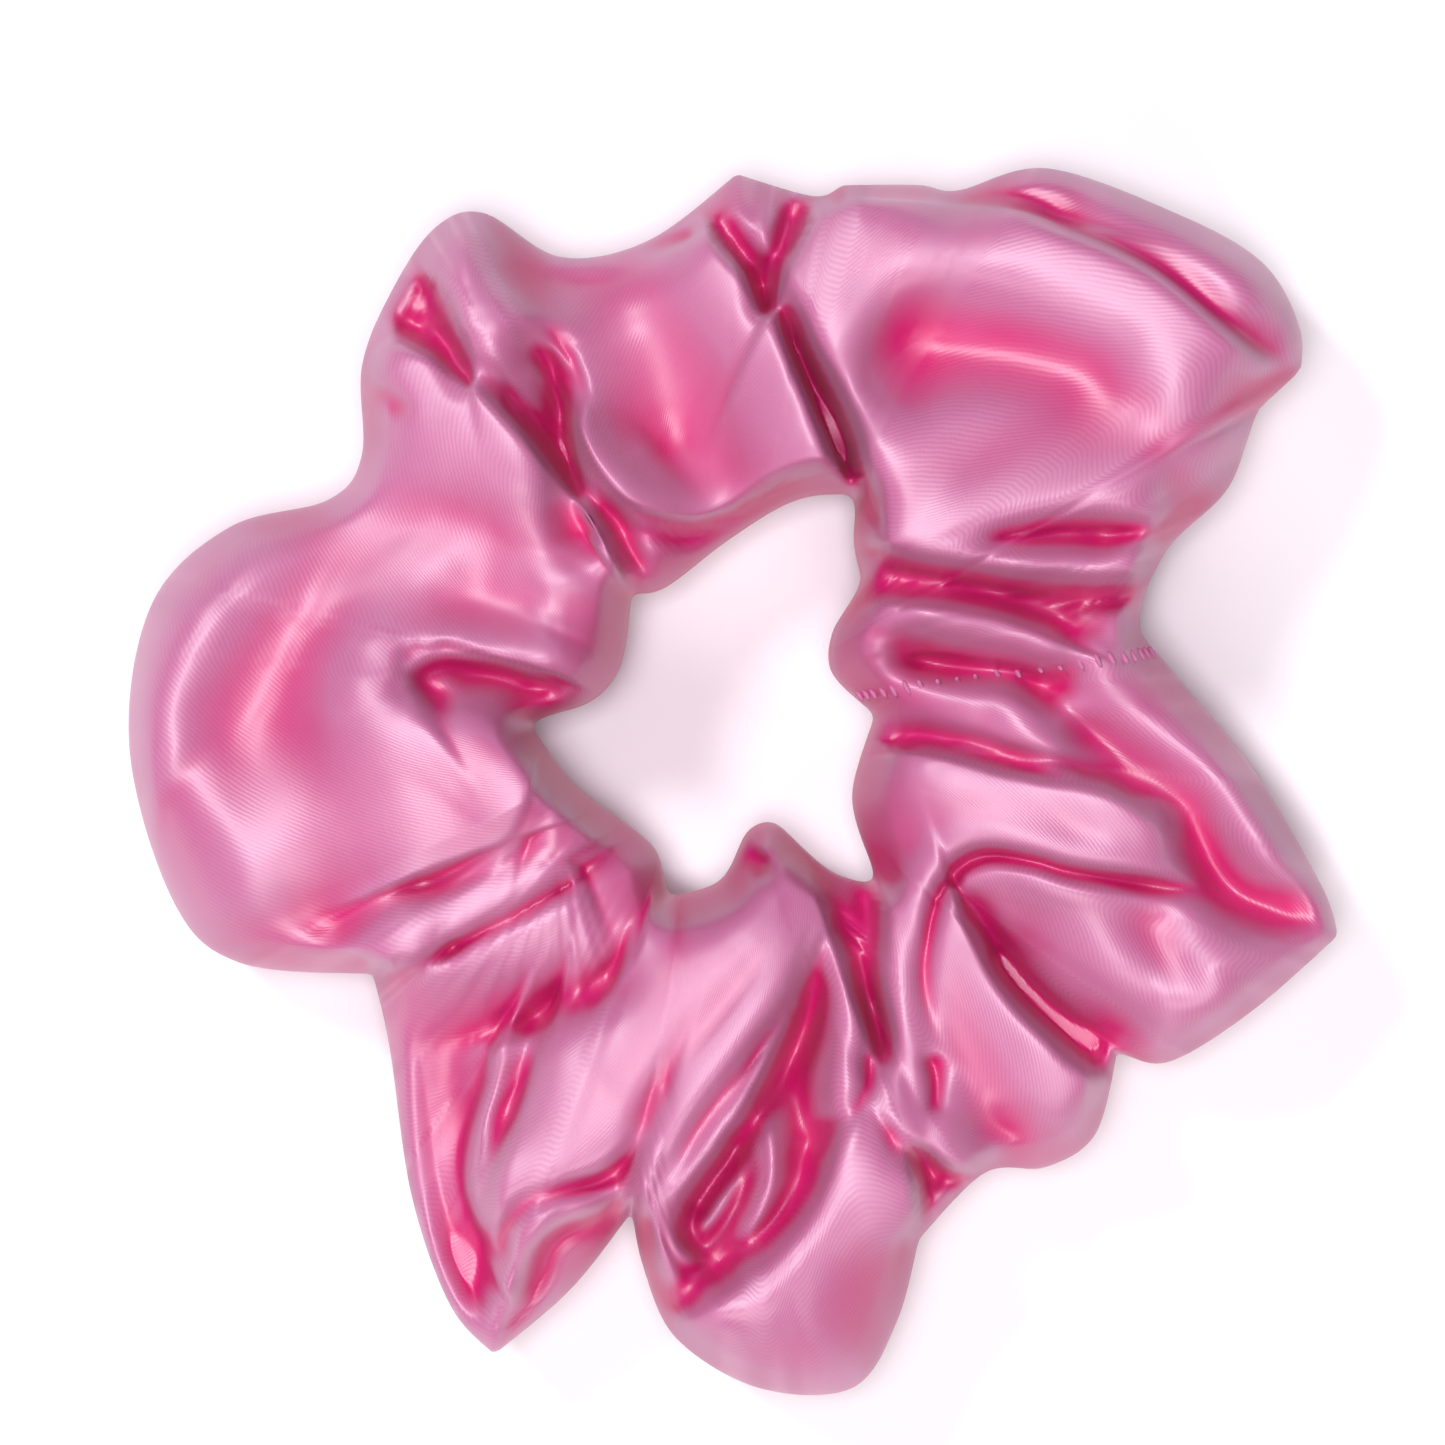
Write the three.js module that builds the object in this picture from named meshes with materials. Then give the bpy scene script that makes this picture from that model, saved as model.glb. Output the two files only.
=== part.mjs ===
// Scrunchie: a tube of pink satin gathered on a loop of flat elastic, lying flat on a table.
// Millimetres, +Z up. The ring lies in the XY plane, its underside rests on z = 0, and the
// origin is under the middle of the whole ring's box.
import * as THREE from 'three';

// Driving dimensions, in millimetres and degrees.
const ELASTIC_RING_RADIUS = 28;
const ELASTIC_WIDTH = 6;
const ELASTIC_THICKNESS = 0.9;
const ELASTIC_LAP = 12;
const ELASTIC_HEIGHT = 9;
const SATIN_WALL = 0.5;
const COVER_HEIGHT = 30;
const THREAD_DIAMETER = 0.5;
const CLEARANCE = 0.3;
const TUCKED_LENGTH = 12;
const SEAM_TURNING = 1.6;
const PUFF_COUNT = 8;
const PUFF_STEPS = 6;
const PUFF_GAP_DEGREES = 2;
const SECTION_POINTS = 16;
const SECTION_ROUNDNESS = 0.8;
const FLAT_SHARE = 0.9;
const CLOSING_SEAM_DEGREES = 7;
const LENGTHWISE_SEAM_DEGREES = 50;

// How the gathered cover stands around the elastic, going round from +X: the angle in degrees,
// how far it reaches inside and outside the elastic's line, and its height as a share of
// COVER_HEIGHT. Each row is a puff at its fullest or a pinch between two puffs.
const GATHERS = [
  [10, 16, 11, 0.6],
  [38, 12, 36, 0.95],
  [57, 6, 31, 1],
  [78, 9, 21, 0.8],
  [102, 14, 15, 0.7],
  [119, 15, 22, 0.9],
  [143, 17, 12, 0.75],
  [170, 17, 24, 1],
  [192, 12, 24, 1],
  [218, 14, 11, 0.7],
  [248, 14, 31, 0.8],
  [260, 11, 18, 0.7],
  [279, 16, 34, 0.8],
  [299, 16, 17, 0.75],
  [314, 8, 23, 0.8],
  [322, 11, 20, 0.85],
  [341, 13, 31, 0.85],
];

const satin = new THREE.MeshStandardMaterial({ color: '#d98db0', roughness: 0.36, metalness: 0 });
const elasticBraid = new THREE.MeshStandardMaterial({ color: '#efece6', roughness: 0.8, metalness: 0 });
const sewingThread = new THREE.MeshStandardMaterial({ color: '#cf7ba2', roughness: 0.6, metalness: 0 });

const radians = THREE.MathUtils.degToRad;

// The cover's reach inside and outside the elastic and its height at an angle, smooth between rows.
function gatherAt(degrees) {
  const angle = THREE.MathUtils.euclideanModulo(degrees, 360);
  const count = GATHERS.length;
  let row = count - 1;
  while (row > 0 && GATHERS[row][0] > angle) row -= 1;
  const next = (row + 1) % count;
  const span = THREE.MathUtils.euclideanModulo(GATHERS[next][0] - GATHERS[row][0], 360);
  const share = (angle - GATHERS[row][0]) / span;
  const ease = share * share * (3 - 2 * share);
  const between = (column) => THREE.MathUtils.lerp(GATHERS[row][column], GATHERS[next][column], ease);
  return { inward: between(1), outward: between(2), height: between(3) * COVER_HEIGHT };
}

// A point of the tube's wall: at an angle round the ring, at an angle round the section
// (0 is the outer side, 90 the top), and at a depth inside the cover's outer face.
function coverPoint(degrees, sectionDegrees, depth) {
  const { inward, outward, height } = gatherAt(degrees);
  const halfHeight = height / (1 + FLAT_SHARE);
  const round = (value) => Math.sign(value) * Math.abs(value) ** SECTION_ROUNDNESS;
  const across = round(Math.cos(radians(sectionDegrees)));
  const up = round(Math.sin(radians(sectionDegrees)));
  const middle = ELASTIC_RING_RADIUS + (outward - inward) / 2;
  const radius = middle + across * ((inward + outward) / 2 - depth);
  const z = Math.max(depth, halfHeight * FLAT_SHARE + up * (halfHeight - depth));
  return new THREE.Vector3(radius * Math.cos(radians(degrees)), radius * Math.sin(radians(degrees)), z);
}

// A length of the gathered tube between two angles: an outer and an inner face, open at both
// ends so that the elastic runs through, and closed round the wall's edge at each end.
function tubeWall(startDegrees, endDegrees, steps, depth) {
  const positions = [];
  const indices = [];
  const faces = [depth, depth + SATIN_WALL];
  for (const face of faces) {
    for (let step = 0; step <= steps; step += 1) {
      const degrees = THREE.MathUtils.lerp(startDegrees, endDegrees, step / steps);
      for (let point = 0; point < SECTION_POINTS; point += 1) {
        const spot = coverPoint(degrees, (360 * point) / SECTION_POINTS, face);
        positions.push(spot.x, spot.y, spot.z);
      }
    }
  }
  const at = (face, step, point) =>
    (face * (steps + 1) + step) * SECTION_POINTS + (point % SECTION_POINTS);
  const quad = (a, b, c, d) => indices.push(a, b, c, a, c, d);
  for (let point = 0; point < SECTION_POINTS; point += 1) {
    const next = point + 1;
    for (let step = 0; step < steps; step += 1) {
      quad(at(0, step, point), at(0, step + 1, point), at(0, step + 1, next), at(0, step, next));
      quad(at(1, step, point), at(1, step, next), at(1, step + 1, next), at(1, step + 1, point));
    }
    quad(at(0, 0, point), at(0, 0, next), at(1, 0, next), at(1, 0, point));
    quad(at(0, steps, point), at(1, steps, point), at(1, steps, next), at(0, steps, next));
  }
  const wall = new THREE.BufferGeometry();
  wall.setAttribute('position', new THREE.Float32BufferAttribute(positions, 3));
  wall.setIndex(indices);
  wall.computeVertexNormals();
  return wall;
}

// A sewing thread along a list of points.
function threadAlong(points, steps) {
  const round = new THREE.Shape();
  round.absarc(0, 0, THREAD_DIAMETER / 2, 0, Math.PI * 2);
  return new THREE.ExtrudeGeometry(round, {
    extrudePath: new THREE.CatmullRomCurve3(points),
    steps,
    curveSegments: 3,
    bevelEnabled: false,
  });
}

// The flat elastic: one strip going once round, its last stretch lapped outside its first.
function elasticStrip() {
  const lapDegrees = THREE.MathUtils.radToDeg(ELASTIC_LAP / ELASTIC_RING_RADIUS);
  const first = CLOSING_SEAM_DEGREES - lapDegrees / 2;
  const climbDegrees = 20;
  const spots = 56;
  const rise = ELASTIC_THICKNESS + CLEARANCE;
  const edge = (share, side) => {
    const turned = share * (360 + lapDegrees);
    const climbed = THREE.MathUtils.smoothstep(turned, 360 - climbDegrees, 360 - 2);
    const radius = ELASTIC_RING_RADIUS + climbed * rise + (side * ELASTIC_THICKNESS) / 2;
    const angle = radians(first + turned);
    return new THREE.Vector2(radius * Math.cos(angle), radius * Math.sin(angle));
  };
  const outline = [];
  for (let spot = 0; spot <= spots; spot += 1) outline.push(edge(spot / spots, 1));
  for (let spot = spots; spot >= 0; spot -= 1) outline.push(edge(spot / spots, -1));
  return new THREE.ExtrudeGeometry(new THREE.Shape(outline), { depth: ELASTIC_WIDTH, bevelEnabled: false });
}

// The zigzag that joins the elastic's lapped ends, on the outer face of the lap.
function lapZigzag() {
  const points = [];
  const turns = 8;
  const lapDegrees = THREE.MathUtils.radToDeg(ELASTIC_LAP / ELASTIC_RING_RADIUS);
  const radius = ELASTIC_RING_RADIUS + 1.5 * ELASTIC_THICKNESS + 2 * CLEARANCE + THREAD_DIAMETER / 2;
  for (let turn = 0; turn <= turns; turn += 1) {
    const angle = radians(CLOSING_SEAM_DEGREES + lapDegrees * 0.7 * (turn / turns - 0.5));
    const side = turn % 2 === 0 ? -1 : 1;
    const height = ELASTIC_HEIGHT + (side * ELASTIC_WIDTH) / 3;
    points.push(new THREE.Vector3(radius * Math.cos(angle), radius * Math.sin(angle), height));
  }
  return threadAlong(points, 40);
}

function sewn(name, geometry, material) {
  const mesh = new THREE.Mesh(geometry, material);
  mesh.name = name;
  return mesh;
}

const scrunchie = new THREE.Group();
const puffDegrees = 360 / PUFF_COUNT;
const puffReach = (puffDegrees - PUFF_GAP_DEGREES) / 2;
const stepDegrees = (2 * puffReach) / PUFF_STEPS;

// The tucked end lies face to face with the cover, so it takes a whole number of the cover's steps.
const tuckedDegrees = THREE.MathUtils.radToDeg(TUCKED_LENGTH / ELASTIC_RING_RADIUS);
const tuckedSteps = Math.max(1, Math.round(tuckedDegrees / 2 / stepDegrees));
const tuckedReach = tuckedSteps * stepDegrees;

// The satin cover, one length for each puff, with the thread of its lengthwise seam inside it,
// down the middle of the turning that the seam leaves.
const threadDepth = SATIN_WALL + CLEARANCE + (SEAM_TURNING + THREAD_DIAMETER) / 2;
for (let puff = 0; puff < PUFF_COUNT; puff += 1) {
  const middle = CLOSING_SEAM_DEGREES + puff * puffDegrees;
  const cover = tubeWall(middle - puffReach, middle + puffReach, PUFF_STEPS, 0);
  scrunchie.add(sewn(`cover_puff_${puff + 1}`, cover, satin));

  const threadStart = puff === 0 ? middle + tuckedReach + PUFF_GAP_DEGREES / 2 : middle - puffReach;
  const route = [];
  for (let stitch = 0; stitch <= PUFF_STEPS; stitch += 1) {
    const degrees = THREE.MathUtils.lerp(threadStart, middle + puffReach, stitch / PUFF_STEPS);
    route.push(coverPoint(degrees, LENGTHWISE_SEAM_DEGREES, threadDepth));
  }
  scrunchie.add(sewn(`seam_thread_${puff + 1}`, threadAlong(route, 2 * PUFF_STEPS), sewingThread));
}

// The raw end of the tube, tucked into the other end where the ring is closed.
const tuckedWall = tubeWall(
  CLOSING_SEAM_DEGREES - tuckedReach,
  CLOSING_SEAM_DEGREES + tuckedReach,
  2 * tuckedSteps,
  SATIN_WALL + CLEARANCE,
);
scrunchie.add(sewn('tucked_end', tuckedWall, satin));

// The row of stitches across the tube that closes the ring, over its top from inside to outside.
const closingRoute = [];
for (let sectionDegrees = 160; sectionDegrees >= 20; sectionDegrees -= 20) {
  const above = -(CLEARANCE + THREAD_DIAMETER / 2);
  closingRoute.push(coverPoint(CLOSING_SEAM_DEGREES, sectionDegrees, above));
}
scrunchie.add(sewn('closing_stitches', threadAlong(closingRoute, 24), sewingThread));

// The elastic and the zigzag that joins its ends.
const elastic = sewn('elastic_band', elasticStrip(), elasticBraid);
elastic.position.z = ELASTIC_HEIGHT - ELASTIC_WIDTH / 2;
scrunchie.add(elastic);
scrunchie.add(sewn('elastic_stitches', lapZigzag(), sewingThread));

// The origin goes under the middle of the ring's box.
const box = new THREE.Box3().setFromObject(scrunchie, true);
const boxMiddle = box.getCenter(new THREE.Vector3());
scrunchie.position.set(-boxMiddle.x, -boxMiddle.y, 0);

export default scrunchie;
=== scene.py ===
import math

import bpy
import numpy as np
from mathutils.kdtree import KDTree
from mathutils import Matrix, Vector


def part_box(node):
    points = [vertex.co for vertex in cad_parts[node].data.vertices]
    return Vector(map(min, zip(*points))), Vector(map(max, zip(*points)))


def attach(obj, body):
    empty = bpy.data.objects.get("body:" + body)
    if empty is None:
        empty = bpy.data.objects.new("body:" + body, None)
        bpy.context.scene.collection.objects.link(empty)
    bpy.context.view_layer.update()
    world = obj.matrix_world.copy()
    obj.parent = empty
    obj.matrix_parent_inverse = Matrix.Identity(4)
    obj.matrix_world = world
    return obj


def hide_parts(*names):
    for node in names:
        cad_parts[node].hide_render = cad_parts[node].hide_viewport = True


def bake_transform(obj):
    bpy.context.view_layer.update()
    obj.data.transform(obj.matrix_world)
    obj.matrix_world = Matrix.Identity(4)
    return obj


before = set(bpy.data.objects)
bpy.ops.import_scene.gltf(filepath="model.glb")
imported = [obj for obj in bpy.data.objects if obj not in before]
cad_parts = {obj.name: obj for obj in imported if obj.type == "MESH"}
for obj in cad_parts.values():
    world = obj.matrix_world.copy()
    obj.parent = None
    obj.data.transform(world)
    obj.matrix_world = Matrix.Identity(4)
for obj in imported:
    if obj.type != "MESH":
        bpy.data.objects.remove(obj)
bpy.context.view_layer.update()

MM = 0.001

# The satin cover: a strip of soft pink satin sewn into a tube, turned right side out, ruched on the
# elastic and sewn shut across its ends. Gathered to less than half its length, it stands in puffs
# that fold over each other. It is drawn by its two edges, the height of its puffs and their creases.
elastic_low, elastic_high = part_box("elastic_band")
ring_radius = (elastic_high.y - elastic_low.y) / 2
ring_middle = np.array([elastic_low.x + ring_radius, (elastic_low.y + elastic_high.y) / 2, 0])
PUFFS = 8
CLOSING_SEAM_DEGREES = 7
EDGE_HEIGHT = 12

# The cover's outer and inner edge as it lies, in millimetres from the ring's middle. Two like points
# in a row are a corner.
OUTER_EDGE = [
    (38.5, 8.5), (41, 15), (46.5, 20.5), (49.5, 28), (53, 30.5), (53, 30.5), (53, 35), (49.5, 41),
    (41.5, 45.5), (30, 49.5), (22, 47.5), (18.5, 48), (11.5, 48), (11.5, 48), (9, 47), (2, 49),
    (2, 49), (-6, 43), (-14, 41.5), (-21, 45.5), (-25.5, 44), (-29.5, 38), (-32, 31.5), (-32, 23.5),
    (-35, 19.5), (-44, 17), (-51, 10), (-53, -3), (-49, -17), (-43, -22.5), (-31, -23.5),
    (-31, -23.5), (-29.5, -30), (-27.5, -43.5), (-24, -53.5), (-20, -58), (-20, -58), (-13, -52),
    (-7.5, -45), (-7.5, -45), (-6.5, -50), (-3.5, -56.5), (4, -61), (12.5, -61), (16.5, -55),
    (18.5, -47.5), (18.5, -47.5), (24.5, -41.5), (30, -41), (34.5, -38), (36.5, -30.5),
    (36.5, -30.5), (41, -31.5), (48.5, -27), (56.5, -20), (56.5, -20), (55, -15.5), (48.5, -4.5),
    (41, 4.5),
]
INNER_EDGE = [
    (14.5, 0), (14.5, 0), (10.5, 4), (11, 8.5), (13.5, 11.5), (13.5, 11.5), (12.5, 16), (13, 20),
    (13, 20), (7.5, 19.5), (1.5, 16), (-4.5, 11.5), (-7.5, 11), (-7.5, 11), (-8.5, 4.5), (-11.5, 1),
    (-17, -0.5), (-17, -0.5), (-12.5, -6.5), (-5.5, -12), (-4.5, -16.5), (-4.5, -16.5), (0.5, -15),
    (3, -10.5), (6, -10), (10, -14), (15, -15.5), (15, -15.5), (13, -10.5), (12.5, -6.5),
]

# How high the puffs stand on their way round: degrees from +X and millimetres.
PUFF_CRESTS = [
    (8, 19), (30, 26), (50, 28), (75, 22), (92, 19), (115, 25), (140, 22), (175, 28), (200, 26),
    (222, 20), (245, 21), (262, 23), (280, 24), (303, 18), (325, 22), (350, 23),
]

# The creases: how much each one rises or falls, how far that spreads to the left and to the right
# of the way it runs, and where it runs. A spread under a millimetre is one layer's edge over another.
FOLD_DEPTH = 1.3
SOFTNESS = 1.2
SHARP = 1.3
TUCK = 0.6
CREASES = {
    "where one puff lies over the next": [
        (5, 0.8, 7, [(-32, 31.5), (-27.5, 33), (-21, 28.5), (-12.5, 19.5), (-8.5, 13), (-7.5, 9)]),
        (5, 0.8, 6, [(-1, 44), (2, 39.5), (5, 34.5), (8, 28.5), (11, 22.5), (11.5, 19.5)]),
        (5, 6, 0.8, [(10, 48), (8, 42.5), (5.5, 37), (5.5, 35)]),
        (5, 4, 0.9, [(7.5, 36.5), (9.5, 32), (12, 26.5), (14, 20)]),
        (5, 0.9, 5, [(42, 15), (38, 12.5), (30, 12.5), (21.5, 14), (15, 15), (12.5, 17)]),
        (4.5, 0.8, 5, [(21.5, -16), (23.5, -21), (27, -26), (32.5, -31), (36.5, -32.5)]),
        (4, 4, 0.8, [(13.5, -12.5), (15, -16.5), (16, -26), (16, -32), (17.5, -37), (20, -39)]),
        (5, 0.8, 5, [(7, -15), (9.5, -17.5), (12, -24.5), (14.5, -30.5), (17, -38), (18.5, -48)]),
        (5.5, 0.9, 7, [(8.5, -18), (5.5, -24.5), (2, -29.5), (-3.5, -37), (-6, -43)]),
        (5, 6, 1.1, [(-6, -17), (-7.5, -22.5), (-10.5, -26.5), (-14.5, -28.5), (-17, -36), (-20, -47)]),
        (5.5, 8, 1.1, [(-31, -23), (-25, -20), (-19.5, -17), (-15, -13.5), (-14, -9.5), (-15.5, -5)]),
        (3, 5, 0.9, [(-3.5, -32), (-5.5, -38.5), (-6.5, -42.5), (-8, -46)]),
        (5, 3, 0.8, [(16, -36.5), (21, -40), (25.5, -42)]),
    ],
    "the low back panel": [
        (-1.5, 3, 4, [(7, 48), (7.5, 42), (6, 35)]),
        (0.8, 4, 4, [(2, 47), (2.5, 42), (7, 35)]),
    ],
    "the upper left puff": [
        (2.2, 4, 4, [(-22, 44), (-20, 38.5), (-18, 33)]),
        (3, 4, 0.8, [(-25, 38.5), (-22.5, 34.5), (-21.5, 29.5)]),
        (-2.5, 4, 3, [(-27, 37.5), (-25, 33), (-22.5, 27.5)]),
        (-3.8, 6, 3, [(-18, 42.5), (-14, 35), (-10, 29), (-5.5, 24)]),
        (3.2, 5, 0.9, [
            (-18.5, 28), (-18, 32), (-15.5, 33.5), (-12.5, 30.5), (-12, 25), (-8.5, 19.5), (-3, 17.5),
            (2, 18.5), (5, 20), (11, 22),
        ]),
        (-6.5, 1, 2.4, [(-14, 30.5), (-13.5, 25), (-12.5, 18.5), (-10, 14)]),
        (-1.6, 3, 3, [(-6, 25), (-2.5, 22), (2.5, 21.5)]),
        (-0.8, 6, 6, [(-7, 37.5), (-1.5, 30.5), (2.5, 25)]),
        (-3, 0.7, 0.9, [(-6, 42.5), (-1.5, 43.5)]),
    ],
    "the big left puff": [
        (2.4, 9, 4, [
            (-49.5, -10.5), (-49, -4), (-47, 1.5), (-39, 9.5), (-31.5, 15), (-24.5, 18), (-17.5, 19),
            (-11.5, 17),
        ]),
        (-3.6, 3.5, 6, [(-46.5, -7.5), (-45.5, -2), (-37, 9), (-31, 13.5), (-23, 17), (-12, 13)]),
        (2.6, 4, 3, [(-26, -7.5), (-31, 2), (-30.5, 6), (-27, 10), (-22.5, 12.5), (-11.5, 10.5)]),
        (-2.6, 3, 4, [(-28, 1.5), (-28.5, 5), (-24, 9.5), (-19.5, 9.5), (-14, 7.5)]),
        (2.8, 4, 0.6, [(-24, -2), (-27, 2.5), (-26.5, 4.5), (-23.5, 5.5), (-16, 4), (-12.5, 2.5)]),
        (-5, 2, 2.6, [(-24, 2.5), (-20.5, 3), (-17, 2), (-12.5, 0.5)]),
        (2, 3, 5, [(-25, -2.5), (-21, 1), (-18.5, 0), (-16.5, -3), (-17, -7.5)]),
        (3, 0.7, 6, [(-15.5, -2.5), (-16.5, -7.5), (-18.5, -11), (-23, -13), (-28, -15)]),
        (-3.4, 4, 3, [(-37.5, -19), (-28.5, -15.5), (-23, -14), (-17.5, -11)]),
        (2, 1.8, 1.8, [(-39, -19.5), (-33.5, -22), (-25, -19), (-19.5, -16), (-16, -12.5)]),
        (-1, 8, 8, [(-47, 8.5), (-37.5, 1.5), (-34, -7.5)]),
        (0.8, 6, 6, [(-42, -14), (-35, -9.5), (-28.5, -5)]),
        (-1.2, 1, 1.2, [(-30, 29), (-27.5, 27)]),
    ],
    "the big upper right puff": [
        (1.6, 0.8, 6, [(13, 46), (20.5, 45.5), (27, 44.5), (31.5, 43.5)]),
        (-4, 3, 1, [(26, 45), (31.5, 43.5), (39, 40), (46, 34.5), (52.5, 30.5)]),
        (1.6, 3, 3, [(31.5, 45.5), (37, 43.5), (42.5, 40.5), (50.5, 33)]),
        (2.4, 7, 4, [
            (10.5, 28.5), (11.5, 33), (14, 36.5), (18.5, 38.5), (24, 37.5), (31.5, 35), (37, 32),
            (41, 24),
        ]),
        (-3.8, 3.5, 5, [
            (13, 25), (13.5, 28.5), (15, 31.5), (19, 33.5), (24, 33.5), (29.5, 32), (35, 29.5),
            (37.5, 26),
        ]),
        (1.6, 3.5, 6, [(15.5, 20), (16.5, 23), (18.5, 25), (24, 26.5), (31.5, 27.5), (37.5, 26.5)]),
        (1.2, 3, 3, [(17.5, 19), (21.5, 18), (31.5, 18.5), (39.5, 21.5)]),
        (-6, 1.1, 1.1, [(6, 36), (8, 31.5), (10, 27), (12.5, 21.5)]),
        (1.5, 1.2, 1.2, [(5.5, 35), (8, 30.5), (10, 27)]),
        (-4.5, 1.3, 1.5, [(22, 15), (26, 15.5), (31, 16), (37.5, 15.5)]),
        (2.5, 4, 0.8, [(20.5, 16), (24.5, 17), (31, 18), (36, 17.5), (38.5, 16)]),
        (2, 1.2, 1.5, [(20.5, 15), (25, 13), (30, 12.5), (35, 13), (39, 15.5)]),
        (1.5, 2, 3, [(18.5, 19), (20.5, 17), (21.5, 14.5)]),
        (1, 8, 8, [(39.5, 37.5), (44, 28.5), (43, 22.5)]),
    ],
    "the pinched neck beside the closing seam": [
        (2.2, 1.6, 2.5, [(15.5, 11), (14, 12.5), (14.5, 13.5), (16.5, 14.5), (21.5, 14), (29.5, 12.5)]),
        (-2.6, 2.5, 1.4, [(14, 10.5), (16, 11), (20, 11), (26, 10), (30.5, 9), (34, 6.5)]),
        (2.4, 3, 2, [(38.5, 14), (38.5, 10.5), (36, 7), (33, 4.5)]),
        (2.2, 1, 3, [(11.5, 7), (13.5, 9.5), (16, 10), (20.5, 9.5), (26, 8.5), (33.5, 5.5)]),
        (1.6, 2, 2, [(15, 8), (18.5, 9), (23.5, 7.5), (32.5, 5)]),
        (-4.6, 1.7, 1.3, [(15.5, 6.5), (17.5, 5.5), (20.5, 4.5), (27, 3.5), (29.5, 2.5), (33, 4)]),
        (1.8, 1.4, 2.5, [(14, 7), (14.5, 5), (15.5, 3), (18.5, 2.5), (22, 2.5), (23.5, 3.5), (29, 2)]),
    ],
    "the right corner": [
        (2.6, 5, 3, [(29.5, 1.5), (35, -1), (40.5, -4), (45.5, -8.5), (50, -13.5), (55.5, -19)]),
        (-6, 2.6, 1.8, [
            (28.5, 1.5), (32.5, -1.5), (37, -4.5), (41.5, -8), (44, -12.5), (46.5, -16), (51.5, -18),
            (56.5, -19.5),
        ]),
        (2.4, 2.4, 2.4, [(23, 2.5), (27, 0), (31, -2.5), (38.5, -7.5), (42, -11.5)]),
        (3.5, 0.8, 5, [(13.5, -4), (18.5, -3.5), (27, -5.5), (34.5, -7), (39.5, -10)]),
    ],
    "the narrow pleat on the inside": [
        (3, 2, 2, [(3, -9.5), (6, -12.5), (11, -18), (15, -25), (16.5, -30), (19.5, -36.5)]),
        (-4, 1.2, 1.2, [(2, -11), (3, -12.5), (5, -14)]),
        (-3, 1.5, 3, [(10.5, -22.5), (12.5, -26), (14, -30.5)]),
    ],
    "the lower right puff and its sewn ridge": [
        (1.6, 1.5, 1.5, [
            (45.5, -15), (41, -14), (32, -12.5), (28.5, -11.5), (24.5, -10.5), (21, -11.5), (18.5, -15),
            (17, -19), (16.5, -24), (18, -31),
        ]),
        (-3.2, 0.8, 0.8, [
            (45.5, -16.5), (41, -15.5), (32, -14), (28.5, -13), (24.5, -12.5), (22, -13.5), (20, -16),
            (19, -19.5), (18.5, -24), (19.5, -31),
        ]),
        (1, 5, 5, [(17, -12.5), (22.5, -7.5), (30.5, -8.5), (37, -12)]),
        (-4, 0.9, 0.9, [(19, -30), (19.5, -32.5), (19.5, -36)]),
        (1.8, 3, 3, [
            (23, -14.5), (27, -13.5), (31, -15.5), (34.5, -18), (36.5, -21.5), (41.5, -26), (44, -25.5),
            (44, -23.5), (38.5, -18.5),
        ]),
        (-1.2, 3, 3, [(37, -17), (39.5, -20.5), (42, -23.5)]),
        (1, 4, 4, [(44, -26), (49.5, -23.5), (55.5, -20)]),
        (-4, 3, 1.2, [(24.5, -20), (28, -25), (32, -28.5), (36, -31)]),
        (1, 4, 4, [(25, -31.5), (28.5, -34), (31.5, -37.5)]),
        (-0.8, 1.5, 1.5, [(22.5, -38.5), (24.5, -37.5), (27, -37.5)]),
    ],
    "the lower left puff": [
        (2.4, 3, 4, [(-29, -25), (-22.5, -22), (-17.5, -19), (-11, -14.5)]),
        (-4.4, 1.2, 1, [(-26, -22), (-22.5, -20), (-17.5, -17.5), (-11, -14)]),
        (1.8, 1, 1.2, [(-24.5, -20), (-19.5, -17.5), (-16, -14.5), (-14, -12.5)]),
        (1.8, 3, 5, [(-14, -12.5), (-10.5, -10.5), (-6.5, -13), (-5.5, -17)]),
        (1.8, 3, 2, [(-29, -26), (-28.5, -31), (-27, -38.5), (-25.5, -46), (-20, -57)]),
        (-5, 1, 6, [(-19, -28.5), (-21, -32.5), (-22.5, -37), (-23, -41.5), (-22, -45.5), (-19, -51.5)]),
        (-2.4, 3, 3, [(-25.5, -47.5), (-23, -51), (-20, -54)]),
        (-5, 2, 2, [(-7.5, -20), (-8.5, -23.5), (-12, -25.5), (-16, -28), (-17.5, -35), (-20, -40)]),
        (1.5, 1.5, 1.5, [(-22, -34), (-20.5, -31), (-18, -29)]),
        (-3.5, 1, 1.2, [(-18.5, -51), (-19, -46.5), (-16.5, -43), (-12.5, -42), (-9.5, -41), (-6.5, -37.5)]),
        (3, 1.4, 1, [(-19.5, -57), (-17.5, -50), (-16, -46.5), (-13.5, -44.5), (-8.5, -43.5)]),
        (-1.5, 4, 4, [(-16, -49.5), (-11.5, -47.5), (-8.5, -46.5)]),
    ],
    "the lower middle puff": [
        (3.2, 3, 5, [(5.5, -17), (0.5, -24.5), (-4.5, -30), (-10.5, -34.5), (-20, -46)]),
        (-0.8, 5, 5, [(-1.5, -19.5), (-7, -26), (-11.5, -31.5)]),
        (-3.5, 1.1, 2.2, [(6, -18.5), (4, -22), (0, -27), (-3, -31), (-4.5, -36), (-5.5, -42)]),
    ],
    "the bottom puff and its leaf fold": [
        (4.5, 0.8, 3.5, [
            (8.5, -17), (9, -20.5), (6.5, -27.5), (3, -34), (0.5, -38), (-2.5, -42), (-4, -45.5),
            (-3, -48), (-0.5, -49), (3, -45), (4.5, -40), (3.5, -35.5),
        ]),
        (-4, 1.2, 1.2, [(2.5, -36.5), (1.5, -39.5), (-1.5, -44), (-2, -46)]),
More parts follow.
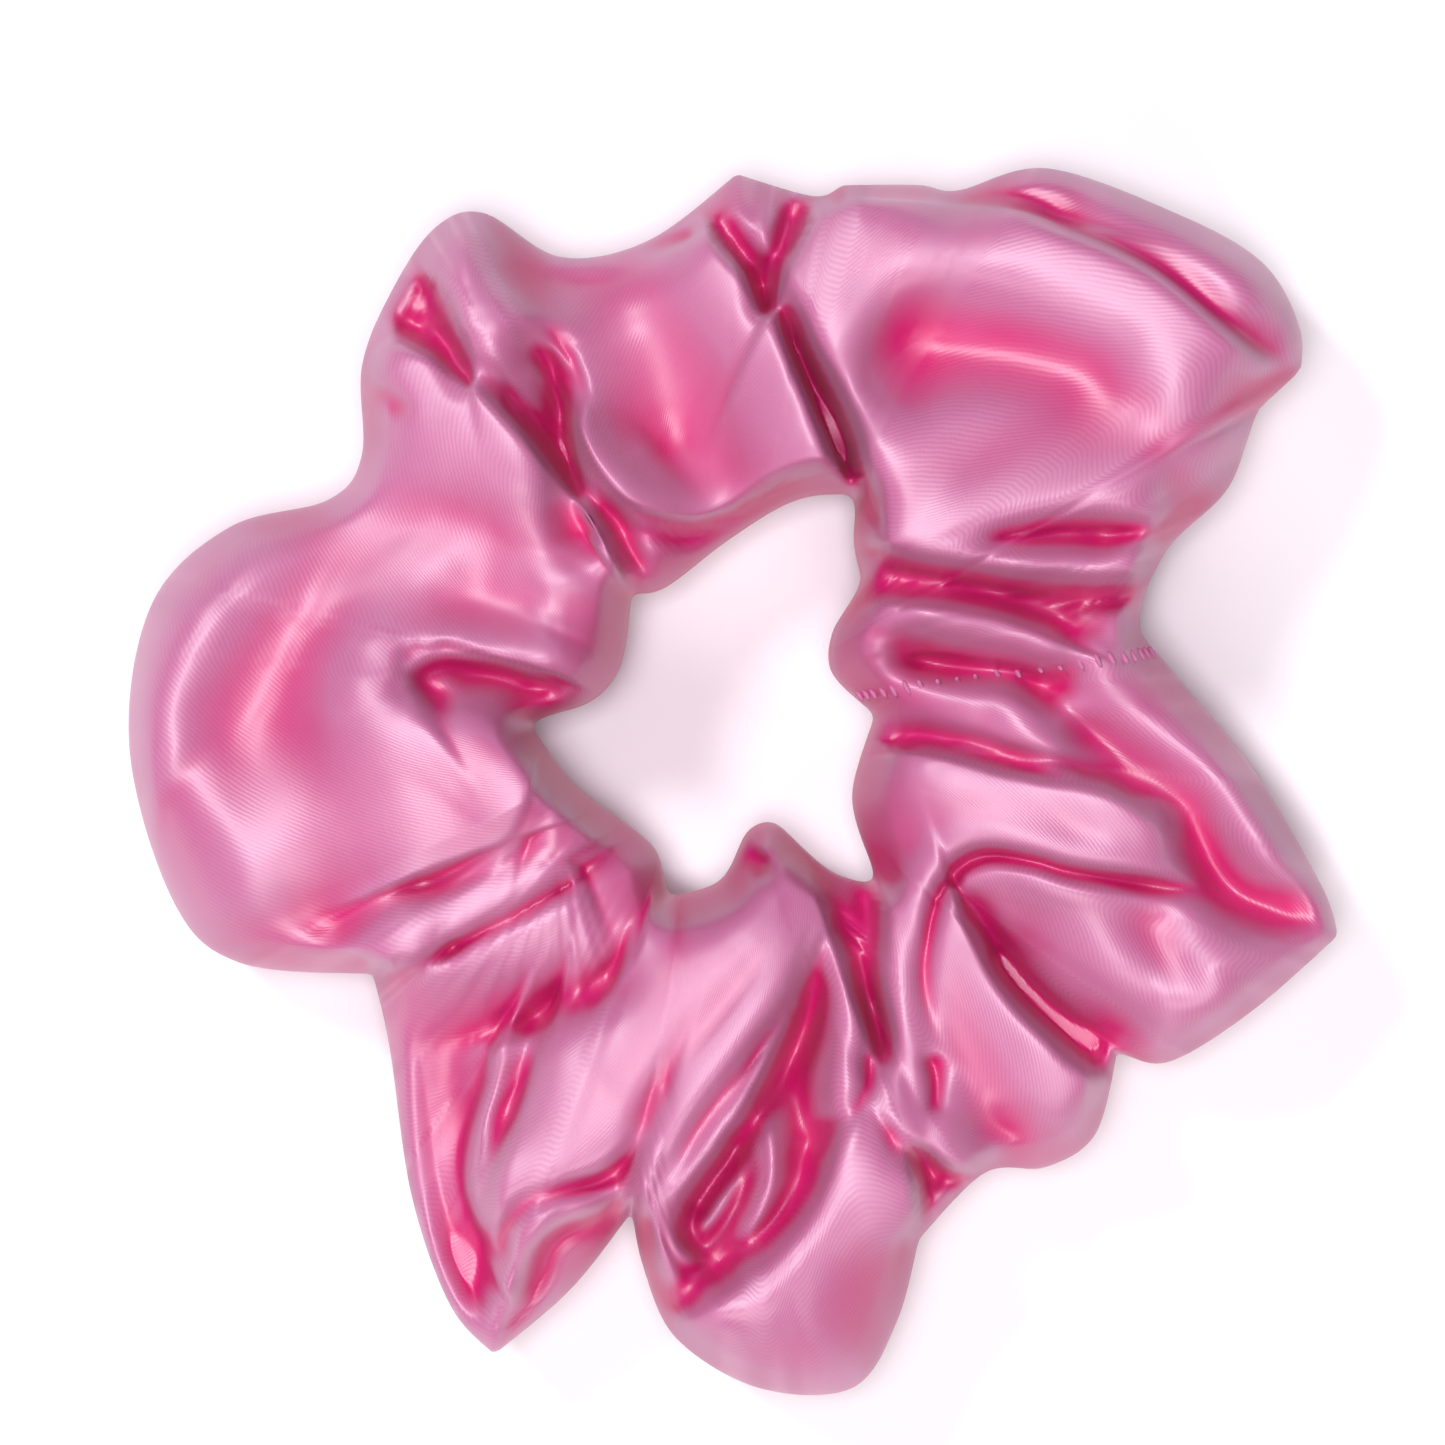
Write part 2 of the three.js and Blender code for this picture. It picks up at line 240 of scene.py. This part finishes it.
        (-5.5, 1.8, 2.2, [(9.5, -22), (9, -27), (7.5, -33), (8, -38), (6.5, -43), (2.5, -48.5), (-4.5, -52.5)]),
        (2.4, 1.2, 2.5, [(9.5, -18), (11.5, -24), (12.5, -31), (12, -36), (10, -39.5)]),
        (-2, 1, 1, [(13, -29.5), (13.5, -32.5), (12.5, -35.5)]),
        (3.4, 7, 1, [
            (16.5, -34.5), (12, -37.5), (9, -42.5), (6, -46.5), (2.5, -49.5), (-1.5, -52.5),
            (-5, -53.5),
        ]),
        (1.5, 1.5, 1.5, [(-6, -47.5), (-5.5, -50.5), (-4.5, -53)]),
    ],
}


def smooth_line(points, closed=False, step=0.8):
    """A smooth line through its points, in steps of about a millimetre, sharp at a doubled point."""
    points = np.array(points, float)
    count = len(points)
    pieces = []
    for i in range(count if closed else count - 1):
        before = points[i - 1] if closed or i else points[i]
        here = points[i]
        there = points[(i + 1) % count]
        after = points[(i + 2) % count] if closed or i + 2 < count else there
        length = np.hypot(*(there - here))
        if length < 0.01:
            continue
        t = np.arange(0, 1, 1 / math.ceil(length / step))[:, None]
        bend = 2 * before - 5 * here + 4 * there - after
        twist = 3 * here - before - 3 * there + after
        pieces.append(0.5 * (2 * here + (there - before) * t + bend * t**2 + twist * t**3))
    pieces.append(points[:1] if closed else points[-1:])
    return np.concatenate(pieces)


def rounded(share):
    """How cloth climbs from an edge: upright at 0, level from 1 on."""
    return np.sqrt(1 - (1 - np.clip(share, 0, 1)) ** 2)


def eased(share):
    """0 to 1, level at both ends."""
    share = np.clip(share, 0, 1)
    return share * share * (3 - 2 * share)


def add_crease(heights, spots, rise, left, right, points):
    """Adds a crease to the heights of the spots near it. Beside a sharp edge, the cloth is tucked in."""
    sharp_edge = rise > 0 and min(left, right) < 1.1
    line = smooth_line(points, step=0.8 if min(left, right) < SHARP else 1.6)
    left, right = (width * SOFTNESS if width >= SHARP else width for width in (left, right))
    margin = 2.2 * max(left, right) + 2
    close = np.flatnonzero(((spots > line.min(0) - margin) & (spots < line.max(0) + margin)).all(1))
    starts, along = line[:-1], np.diff(line, axis=0)
    length = np.hypot(along[:, 0], along[:, 1])
    travelled = np.cumsum(length) - length
    for first in range(0, len(close), 6000):
        part = close[first : first + 6000]
        offset = spots[part, None] - starts
        t = np.clip((offset * along).sum(2) / length**2, 0, 1)
        away = offset - t[..., None] * along
        distance = np.hypot(away[..., 0], away[..., 1])
        on_right = along[:, 0] * offset[..., 1] < along[:, 1] * offset[..., 0]
        share = (travelled + t * length) / length.sum()
        fade = eased(share * 5) * eased((1 - share) * 5)
        change = (fade * np.exp(-((distance / np.where(on_right, right, left)) ** 2))).max(1)
        if sharp_edge:
            below = np.where(on_right == (right < left), distance, -distance)
            change -= TUCK * (fade * np.exp(-(((below - 1.6) / 1.2) ** 2))).max(1)
        heights[part] += rise * change


# The cover is worked out on a grid that goes round the ring and, at each place, across from the
# inner edge to the outer one, with finer steps near the edges.
AROUND = 1080
ACROSS = 200
UNDER = 56
angles = math.radians(CLOSING_SEAM_DEGREES) + np.arange(AROUND) * 2 * math.pi / AROUND


def edge_reach(line):
    """How far an edge lies from the ring's middle at each angle of the grid."""
    turned = np.arctan2(line[:, 1], line[:, 0]) % (2 * math.pi)
    order = np.argsort(turned)
    reach = np.hypot(line[:, 0], line[:, 1])[order]
    return np.interp(angles % (2 * math.pi), turned[order], reach, period=2 * math.pi)


outer_line = smooth_line(OUTER_EDGE, closed=True, step=0.2)
inner_line = smooth_line(INNER_EDGE, closed=True, step=0.2)
def evened(values, reach):
    """Values round the ring, averaged over a few steps to either side."""
    ends = np.concatenate([values[-reach:], values, values[:reach]])
    return np.convolve(ends, np.ones(2 * reach + 1) / (2 * reach + 1), "valid")


outer = evened(edge_reach(outer_line), 1)
inner = evened(evened(edge_reach(inner_line), 6), 6)


def across_spots(count):
    """The grid's places in the plane of the table: round the ring, then across it."""
    t = np.arange(count + 1) / count
    shares = t - 0.6 * np.sin(2 * math.pi * t) / (2 * math.pi)
    radius = inner[:, None] + (outer - inner)[:, None] * shares[None]
    return np.stack([radius * np.cos(angles)[:, None], radius * np.sin(angles)[:, None]], axis=2)


EDGE_PARTS = 12
around = np.stack([np.cos(angles), np.sin(angles)], axis=1)
edge_tree = KDTree(2 * AROUND * EDGE_PARTS)
for number, reach in enumerate((outer, inner)):
    edge = reach[:, None] * around
    parts = [edge + (np.roll(edge, -1, 0) - edge) * part / EDGE_PARTS for part in range(EDGE_PARTS)]
    for place, (x, y) in enumerate(np.concatenate(parts).tolist()):
        edge_tree.insert((x, y, 0), number * AROUND * EDGE_PARTS + place)
edge_tree.balance()


def edge_distance(spots):
    """Each place's distance from the nearer edge."""
    nearest = [edge_tree.find((x, y, 0))[2] for x, y in spots.reshape(-1, 2).tolist()]
    return np.array(nearest).reshape(spots.shape[:2])


top = across_spots(ACROSS)
crest_degrees, crest_heights = np.array(PUFF_CRESTS, float).T
crest = np.interp(np.degrees(angles) % 360, crest_degrees, crest_heights, period=360)
for _ in range(3):
    crest = evened(crest, 20)
top_distance = edge_distance(top)
top_height = EDGE_HEIGHT + (crest[:, None] - EDGE_HEIGHT) * rounded(top_distance / 9)


def settled(heights, reach):
    """Heights of the grid, averaged over a few steps round the ring and across it."""
    for turned in (0, 1):
        heights = heights.T if turned else heights
        mode = "edge" if turned else "wrap"
        padded = np.pad(heights, ((reach, reach), (0, 0)), mode=mode)
        total = np.cumsum(np.pad(padded, ((1, 0), (0, 0))), axis=0)
        heights = (total[2 * reach + 1 :] - total[: -2 * reach - 1]) / (2 * reach + 1)
        heights = heights.T if turned else heights
    return heights


soft = np.zeros(top_height.size)
sharp = np.zeros(top_height.size)
for creases in CREASES.values():
    for rise, left, right, points in creases:
        kind = sharp if min(left, right) < SHARP else soft
        add_crease(kind, top.reshape(-1, 2), FOLD_DEPTH * rise, left, right, points)
soft = settled(settled(soft.reshape(top_height.shape), 3), 3)
top_height += (soft + sharp.reshape(top_height.shape)) * eased(top_distance / 3)

# Between the big folds the cloth is drawn in by the elastic, in small creases that start near it.
SMALL_CREASES = 10
chance = np.random.default_rng(7)
small = np.zeros(top_height.size)
for _ in range(SMALL_CREASES):
    way_out = chance.uniform(0, 2 * math.pi)
    start = chance.uniform(14, 34)
    length = chance.uniform(9, 24)
    lean = chance.normal(0, 0.3)
    curl = chance.normal(0, 0.2)
    spot = start * np.array([math.cos(way_out), math.sin(way_out)])
    points = [spot]
    for part in range(3):
        heading = way_out + lean + curl * part
        spot = spot + length / 3 * np.array([math.cos(heading), math.sin(heading)])
        points.append(spot)
    spread = chance.uniform(0.7, 2.6, 2)
    rise = chance.choice([-1, 1]) * chance.uniform(0.1, 0.2) * spread.mean()
    add_crease(small, top.reshape(-1, 2), rise, *spread, points)
top_height += small.reshape(top_height.shape) * eased(top_distance / 5)
for _ in range(4):
    inward = top_height.copy()
    inward[:, 1:-1] = (top_height[:, :-2] + top_height[:, 2:] + 2 * top_height[:, 1:-1]) / 4
    top_height = (np.roll(inward, 1, 0) + np.roll(inward, -1, 0) + 2 * inward) / 4

# The cloth can't sink through the elastic that it is gathered on.
elastic_top = elastic_high.z / MM
elastic_reach = (np.hypot(top[..., 0], top[..., 1]) - ring_radius / MM) / 3
top_height = np.maximum(top_height, elastic_top + 2 - elastic_reach**2)
top_height = np.maximum(top_height, EDGE_HEIGHT + 1.5 * rounded(top_distance / 3))
FULL_HEIGHT = 27
CREST_ROOM = 2.5
CREST_GIVE = 4
full = np.minimum(crest[:, None] + CREST_ROOM, FULL_HEIGHT)
extra = np.maximum(top_height - full, 0)
top_height = np.minimum(top_height, full) + CREST_GIVE * (1 - np.exp(-extra / CREST_GIVE))
top_height[:, [0, -1]] = EDGE_HEIGHT

# How deep each place lies between its neighbours, from 0 on a puff to 1 in a fold, raised near the hole: it
# paints shade into the satin's colour, a deeper pink in folds and round the hole.
near_level = settled(settled(top_height, 4), 4)
wide_level = settled(settled(top_height, 14), 14)
fold = 0.25 + (near_level - top_height) / 1.2 + (wide_level - top_height) / 4
from_hole = np.hypot(top[..., 0], top[..., 1]) - inner[:, None]
fold = np.clip(fold + 0.4 * (1 - eased(from_hole / 9)), 0, 1)
# The underside is painted with a fixed share of that shade.
UNDER_FOLD_SHADE = 0.4

under = across_spots(UNDER)
under_distance = edge_distance(under)
under_height = EDGE_HEIGHT * (1 - rounded(under_distance / 8))

# The underside takes up the rest of the gathered length, in small pleats that run out from the elastic.
PLEATS = 72
PLEAT_DEPTH = 3
uneven = np.sin(5 * angles) + 0.7 * np.sin(11 * angles + 1)
pleats = PLEAT_DEPTH * (1 + np.cos(PLEATS * angles + uneven)) / 2
under_height += pleats[:, None] * eased(under_distance / 4)
under_height[:, [0, -1]] = EDGE_HEIGHT

skin = np.concatenate([np.dstack([top, top_height]), np.dstack([under, under_height])[:, -2:0:-1]], axis=1)
skin = skin * MM + ring_middle
# The underside takes its fixed share of painted shade.
fold = np.concatenate([fold, np.full((AROUND, UNDER - 1), UNDER_FOLD_SHADE)], axis=1)

# The way the whole skin faces, so that no line shows where it is divided between two puffs.
corner = [np.roll(skin, (-one, -other), (0, 1)) for one, other in ((0, 0), (0, 1), (1, 1), (1, 0))]
patch = np.cross(corner[2] - corner[0], corner[3] - corner[1])
facing = sum(np.roll(patch, (one, other), (0, 1)) for one, other in ((0, 0), (0, 1), (1, 1), (1, 0)))
facing /= np.linalg.norm(facing, axis=2, keepdims=True) + 1e-12
SATIN_THICKNESS = 0.3 * MM
lining = skin - facing * SATIN_THICKNESS


def linear(code):
    """The linear colour of an sRGB hex code."""
    parts = [int(code[i : i + 2], 16) / 255 for i in (1, 3, 5)]
    return [c / 12.92 if c <= 0.04045 else ((c + 0.055) / 1.055) ** 2.4 for c in parts] + [1]


def add_node(tree, kind, links=(), **settings):
    """Adds a node, sets its settings and the values of its inputs, and links sources to its inputs."""
    node = tree.nodes.new(kind)
    for name, value in settings.items():
        if hasattr(node, name):
            setattr(node, name, value)
        else:
            node.inputs[name.replace("_", " ")].default_value = value
    for source, target in links:
        tree.links.new(source, node.inputs[target])
    return node


# Polyester satin, woven with long floating yarns: a pink body under a pale broad shine that runs along
# the yarns, with painted shade, a deeper pink, in the folds, round the hole and underneath. The twill lines of
# the weave are 0.4 mm apart.
TWILL_PITCH = 0.4
WAVE_PERIOD = 2 * math.pi / (10 * math.sqrt(2))
satin = bpy.data.materials.new("woven polyester satin")
satin.use_nodes = True
satin_tree = satin.node_tree
satin_shader = satin_tree.nodes["Principled BSDF"]
on_cloth = add_node(satin_tree, "ShaderNodeUVMap", uv_map="cloth")
twill = add_node(
    satin_tree,
    "ShaderNodeTexWave",
    [(on_cloth.outputs["UV"], "Vector")],
    bands_direction="DIAGONAL",
    Scale=WAVE_PERIOD / TWILL_PITCH,
    Distortion=0.3,
    Detail=1,
)
yarn_length = add_node(
    satin_tree, "ShaderNodeMapping", [(on_cloth.outputs["UV"], "Vector")], Scale=(0.5, 4, 1)
)
yarns = add_node(
    satin_tree, "ShaderNodeTexNoise", [(yarn_length.outputs["Vector"], "Vector")], Scale=1, Detail=3
)
weave = add_node(
    satin_tree, "ShaderNodeMath", [(twill.outputs["Fac"], 0), (yarns.outputs["Fac"], 1)], operation="ADD"
)
bump = add_node(
    satin_tree, "ShaderNodeBump", [(weave.outputs["Value"], "Height")], Strength=0.5, Distance=0.015 * MM
)
dye = add_node(
    satin_tree,
    "ShaderNodeMapRange",
    [(weave.outputs["Value"], "Value")],
    From_Min=0.2,
    From_Max=1.6,
)
body = add_node(satin_tree, "ShaderNodeMix", [(dye.outputs["Result"], "Factor")], data_type="RGBA")
body.inputs[6].default_value = linear("#ba6690")
body.inputs[7].default_value = linear("#c3749c")
# Painted shade: where the fold attribute is high, in folds, round the hole and on the underside, the body
# colour turns a deep pink.
fold_shade = add_node(satin_tree, "ShaderNodeAttribute", attribute_name="fold")
painted_fold_shade = add_node(
    satin_tree,
    "ShaderNodeMix",
    [(fold_shade.outputs["Fac"], "Factor"), (body.outputs[2], 6)],
    data_type="RGBA",
)
# The deep pink of the painted shade.
painted_fold_shade.inputs[7].default_value = linear("#c20c66")
yarn_way = add_node(satin_tree, "ShaderNodeTangent", direction_type="UV_MAP", uv_map="cloth")
satin_tree.links.new(painted_fold_shade.outputs[2], satin_shader.inputs["Base Color"])
satin_tree.links.new(bump.outputs["Normal"], satin_shader.inputs["Normal"])
satin_tree.links.new(yarn_way.outputs["Tangent"], satin_shader.inputs["Tangent"])
satin_shader.inputs["Roughness"].default_value = 0.48
satin_shader.inputs["Anisotropic"].default_value = 0.5
satin_shader.inputs["IOR"].default_value = 1.6
satin_shader.inputs["Specular IOR Level"].default_value = 1.0
satin_shader.inputs["Sheen Weight"].default_value = 0.05
satin_shader.inputs["Sheen Roughness"].default_value = 0.35
satin_shader.inputs["Sheen Tint"].default_value = linear("#ffd0e6")

columns_each = AROUND // PUFFS
around_skin = skin.shape[1]


def stretch_with_ring(piece):
    """Bakes a piece's placement into its mesh."""
    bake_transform(piece)


def sewn_length(name, outside, material, inside=None, facing=None, cloth=None, fold=None):
    """A length of tube from rings of points: hollow when it has an inside, solid when it hasn't."""
    rings, each = outside.shape[:2]
    count = rings * each
    grid = np.arange(count).reshape(rings, each)
    here, beside = grid[:-1], grid[1:]
    quads = np.stack([here, np.roll(here, -1, 1), np.roll(beside, -1, 1), beside], axis=2).reshape(-1, 4)
    points = outside.reshape(-1, 3)
    faces = quads.tolist()
    if inside is None:
        faces += [grid[0][::-1].tolist(), grid[-1].tolist()]
    else:
        points = np.concatenate([points, inside.reshape(-1, 3)])
        faces += (quads[:, ::-1] + count).tolist()
        for row, turn in ((grid[0], 1), (grid[-1], -1)):
            rim = np.stack([row, row + count, np.roll(row, -1) + count, np.roll(row, -1)], axis=1)
            faces += rim[:, ::turn].tolist()
    mesh = bpy.data.meshes.new(name)
    mesh.from_pydata(points.tolist(), [], faces)
    mesh.update()
    piece = bpy.data.objects.new(name, mesh)
    bpy.context.scene.collection.objects.link(piece)
    mesh.shade_smooth()
    if facing is not None:
        flat = facing.reshape(-1, 3)
        mesh.normals_split_custom_set_from_vertices(np.concatenate([flat, -flat]).tolist())
    if cloth is not None:
        corners = np.empty(len(mesh.loops), int)
        mesh.loops.foreach_get("vertex_index", corners)
        flat = np.concatenate([cloth.reshape(-1, 2)] * 2)
        mesh.uv_layers.new(name="cloth").data.foreach_set("uv", flat[corners].ravel())
    # The fold attribute carries the painted shade into the satin's colour.
    if fold is not None:
        depths = np.concatenate([fold.ravel()] * 2)
        mesh.attributes.new("fold", "FLOAT", "POINT").data.foreach_set("value", depths)
    mesh.materials.append(material)
    return piece


def puff_columns(number):
    return (np.arange(columns_each + 1) + number * columns_each) % AROUND


# Places on the flat cloth, in millimetres: along the strip and across it, by the length of the skin.
around_step = np.linalg.norm(np.diff(np.concatenate([skin, skin[:1]]), axis=0), axis=2).mean(1) / MM
along_cloth = np.concatenate([[0], np.cumsum(around_step)])
across_step = np.linalg.norm(np.diff(skin, axis=1), axis=2) / MM
across_cloth = np.concatenate([np.zeros((AROUND, 1)), np.cumsum(across_step, axis=1)], axis=1)

for number in range(PUFFS):
    columns = puff_columns(number)
    along = along_cloth[number * columns_each : (number + 1) * columns_each + 1]
    cloth = np.dstack([np.broadcast_to(along[:, None], across_cloth[columns].shape), across_cloth[columns]])
    puff = sewn_length(
        f"satin_puff_{number + 1}",
        skin[columns],
        satin,
        lining[columns],
        facing[columns],
        cloth,
        fold[columns],
    )
    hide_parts(f"cover_puff_{number + 1}")
    stretch_with_ring(puff)

# The thread of the lengthwise seam: it runs inside the cover along its whole length, where the two
# long edges of the strip are sewn together.
THREAD_RADIUS = 0.25
THREAD_SHARE = 0.62
THREAD_DEPTH = 1.4
thread = bpy.data.materials.new("spun polyester thread")
thread.use_nodes = True
thread_shader = thread.node_tree.nodes["Principled BSDF"]
thread_shader.inputs["Base Color"].default_value = linear("#b96a93")
thread_shader.inputs["Roughness"].default_value = 0.8


def ring_of_points(middle, outward, radius, count):
    """Points round a cord that runs along the ring, at each of its places."""
    turn = np.arange(count) * 2 * math.pi / count
    side = outward[:, None] * np.cos(turn)[None, :, None] * radius
    up = np.array([0, 0, 1]) * np.sin(turn)[None, :, None] * radius
    return middle[:, None] + side + up


outward = np.stack([np.cos(angles), np.sin(angles), np.zeros(AROUND)], axis=1)
thread_row = round(THREAD_SHARE * ACROSS)
lowest = np.minimum.reduce([np.roll(top_height[:, thread_row], k) for k in range(-12, 13)])
thread_height = evened(lowest, 6)
thread_line = np.dstack([top[:, thread_row][None], thread_height[None] - THREAD_DEPTH])[0]
thread_skin = ring_of_points(thread_line, outward, THREAD_RADIUS, 6) * MM + ring_middle
for number in range(PUFFS):
    seam = sewn_length(f"seam_thread_length_{number + 1}", thread_skin[puff_columns(number)][::3], thread)
    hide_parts(f"seam_thread_{number + 1}")
    stretch_with_ring(seam)

# The elastic: a flat braided loop standing on edge inside the cover, which gathers on it.
ELASTIC_THICKNESS = 0.9
rubber = bpy.data.materials.new("braided elastic")
rubber.use_nodes = True
rubber_shader = rubber.node_tree.nodes["Principled BSDF"]
rubber_shader.inputs["Base Color"].default_value = linear("#efece6")
rubber_shader.inputs["Roughness"].default_value = 0.85
band_section = []
for side, level in ((-0.5, elastic_low.z), (0.5, elastic_low.z), (0.5, elastic_high.z), (-0.5, elastic_high.z)):
    place = ring_middle + outward * (ring_radius + (side - 0.5) * ELASTIC_THICKNESS * MM)
    place[:, 2] = level
    band_section.append(place)
band_skin = np.stack(band_section, axis=1)
for number in range(PUFFS):
    band = sewn_length(f"elastic_length_{number + 1}", band_skin[puff_columns(number)][::5], rubber)
    band.data.shade_flat()
    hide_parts("elastic_band")
    stretch_with_ring(band)
elastic_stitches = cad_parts["elastic_stitches"]
for finish in elastic_stitches.material_slots:
    finish.link = "OBJECT"
    finish.material = thread

# The tucked-in end: when the ring is closed, one raw end of the tube is pushed into the other, inside
# the cover on both sides of the closing seam.
TUCKED_COLUMNS = 42
TUCKED_INSIDE = 0.06
TUCKED_ROWS = 60
tucked_shares = np.linspace(TUCKED_INSIDE, 1 - TUCKED_INSIDE, TUCKED_ROWS)
for name, columns, number in (
    ("tucked_end_before_seam", np.arange(-TUCKED_COLUMNS, 1) % AROUND, PUFFS - 1),
    ("tucked_end_after_seam", np.arange(0, TUCKED_COLUMNS + 1), 0),
):
    rings = []
    nearby = [np.roll(top_height, (turn, step), (0, 1)) for turn in (-4, 0, 4) for step in (-4, -2, 0, 2, 4)]
    lowest = np.minimum.reduce(nearby)
    for column in columns:
        reach = inner[column] + (outer[column] - inner[column]) * tucked_shares
        over_reach = np.hypot(top[column, :, 0], top[column, :, 1])
        under_reach = np.hypot(under[column, :, 0], under[column, :, 1])
        over = np.interp(reach, over_reach, lowest[column]) - 1.2
        beneath = np.minimum(np.interp(reach, under_reach, under_height[column]) + 0.9, over - 0.8)
        both_reach = np.concatenate([reach, reach[::-1]])
        heights = np.concatenate([over, beneath[::-1]])
        ring = outward[column] * both_reach[:, None]
        ring[:, 2] = heights
        rings.append(ring)
    tucked_skin = np.array(rings)
    middle_line = tucked_skin.mean(1, keepdims=True)
    tucked_lining = tucked_skin + np.clip(middle_line - tucked_skin, -0.3, 0.3)
    tucked = sewn_length(name, tucked_skin * MM + ring_middle, satin, tucked_lining * MM + ring_middle)
    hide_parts("tucked_end")
    stretch_with_ring(tucked)

# The closing seam: small slanted stitches of the same thread, right across the tube, that hold the
# outer end over the tucked-in one.
STITCHES = 22
STITCH_LENGTH = 1.5
bpy.ops.object.select_all(action="DESELECT")
stitches = []
for number in range(STITCHES):
    share = 0.05 + 0.9 * number / (STITCHES - 1)
    row = round(share * ACROSS)
    place = np.array([*top[3, row], top_height[3, row] + 0.05]) * MM + ring_middle
    slope = math.atan2(top_height[6, row] - top_height[0, row], np.hypot(*(top[6, row] - top[0, row])))
    bpy.ops.mesh.primitive_uv_sphere_add(
        segments=8,
        ring_count=6,
        radius=THREAD_RADIUS * MM,
        location=place,
        rotation=(-slope, 0, angles[3] + 0.35),
    )
    stitch = bpy.context.object
    stitch.scale = (1, STITCH_LENGTH / 2 / THREAD_RADIUS, 1)
    bpy.ops.object.transform_apply(location=True, rotation=True, scale=True)
    stitches.append(stitch)
for stitch in stitches:
    stitch.select_set(True)
bpy.ops.object.join()
closing = bpy.context.object
closing.name = "closing_seam_stitches"
closing.data.shade_smooth()
closing.data.materials.append(thread)
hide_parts("closing_stitches")
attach(closing, "puff_1")

# The table, the lights and the camera. The table is a plain white sheet. One wide soft light stands
# on the near side, low enough to run along the satin's folds, and one hangs to the upper left, whose
# shadow falls to the lower right.
bpy.ops.object.select_all(action="DESELECT")
bpy.ops.mesh.primitive_plane_add(size=1.4, location=(0, 0, 0))
table = bpy.context.object
table.name = "table"
paper = bpy.data.materials.new("matte white paper")
paper.use_nodes = True
paper_shader = paper.node_tree.nodes["Principled BSDF"]
paper_shader.inputs["Roughness"].default_value = 0.9
paper_shader.inputs["Specular IOR Level"].default_value = 0.1
paper_shader.inputs["Base Color"].default_value = linear("#f7f6f6")
table.data.materials.append(paper)

VIEW_WIDTH = 131.4 * MM
CAMERA_HEIGHT = 0.62
SENSOR = 36
view_middle = ring_middle[:2] + np.array([0.7, -0.7]) * MM
bpy.ops.object.camera_add(location=(*view_middle, CAMERA_HEIGHT + 10 * MM), rotation=(0, 0, 0))
camera = bpy.context.object
camera.data.sensor_width = SENSOR
camera.data.lens = SENSOR * CAMERA_HEIGHT / VIEW_WIDTH
camera.data.clip_start = 0.01
camera.data.dof.use_dof = False
bpy.context.scene.camera = camera


def soft_light(name, place, size, power, colour):
    """A rectangular soft light that faces the middle of the ring."""
    bpy.ops.object.light_add(type="AREA", location=place)
    light = bpy.context.object
    light.name = name
    light.data.shape = "RECTANGLE"
    light.data.size, light.data.size_y = size
    light.data.energy = power
    light.data.color = linear(colour)[:3]
    tilt = math.atan2(math.hypot(place[0], place[1]), place[2])
    light.rotation_euler = (tilt, 0, math.atan2(place[1], place[0]) + math.pi / 2)


soft_light("near_window", (0.06, -0.62, 0.62), (0.6, 0.2), 3.2, "#fff8f6")
soft_light("upper_left_lamp", (-0.36, 0.32, 0.7), (0.14, 0.14), 3.0, "#fbf9ff")
soft_light("overhead_softbox", (-0.05, -0.02, 0.95), (0.3, 0.3), 6.8, "#faf6ff")
world = bpy.data.worlds.new("white room")
world.use_nodes = True
world.node_tree.nodes["Background"].inputs["Color"].default_value = linear("#ffffff")
world.node_tree.nodes["Background"].inputs["Strength"].default_value = 0.08
bpy.context.scene.world = world
bpy.context.scene.view_settings.view_transform = "Standard"
